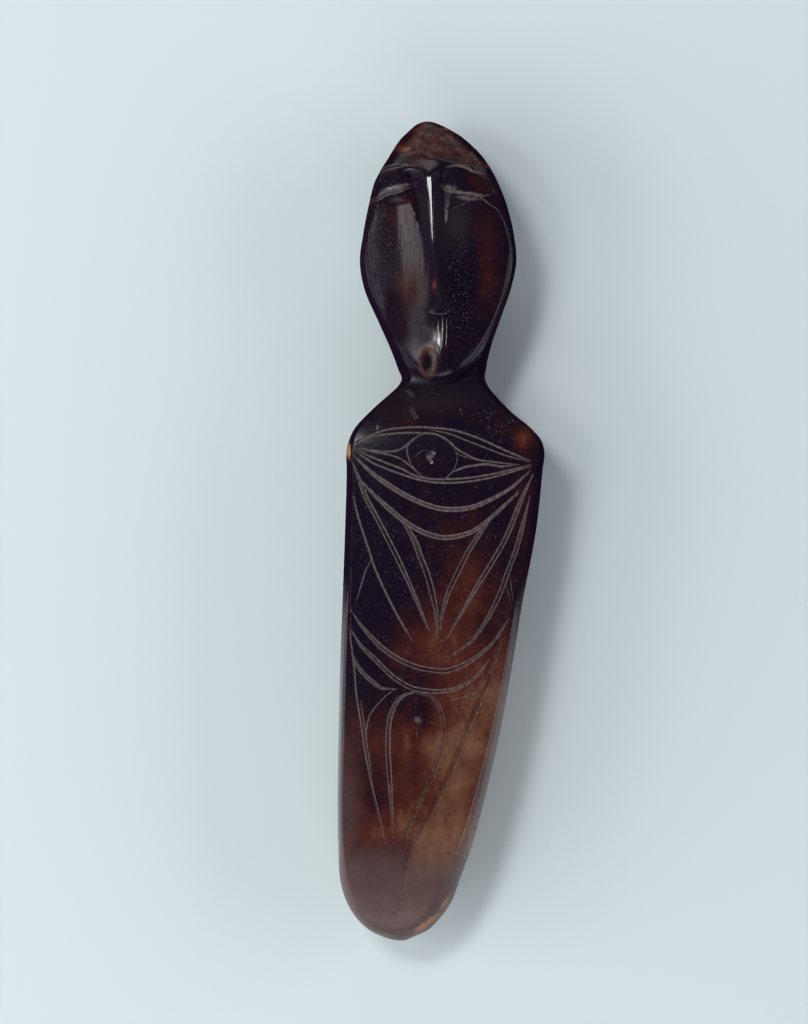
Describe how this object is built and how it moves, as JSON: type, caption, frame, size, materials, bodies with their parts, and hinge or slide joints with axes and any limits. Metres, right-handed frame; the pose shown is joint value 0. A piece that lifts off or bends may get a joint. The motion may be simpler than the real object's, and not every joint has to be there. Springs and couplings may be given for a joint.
{
  "type": "ivory figurine",
  "caption": "Ancient carved walrus-ivory figurine: long masklike head, short neck, flat armless torso covered with engraved curved lines, narrowing to a round end.",
  "frame": {"origin": "middle of the underside of the part's box, as it lies on its back", "axes": "+Y from the round end to the crown of the head, +X to the figure's own left side, +Z out of its chest"},
  "size_m": [0.0432, 0.172, 0.0242],
  "materials": {
    "ivory": "polished, dark brown patina"
  },
  "bodies": {
    "root": {"figurine": "ivory"}
  },
  "joints": []
}
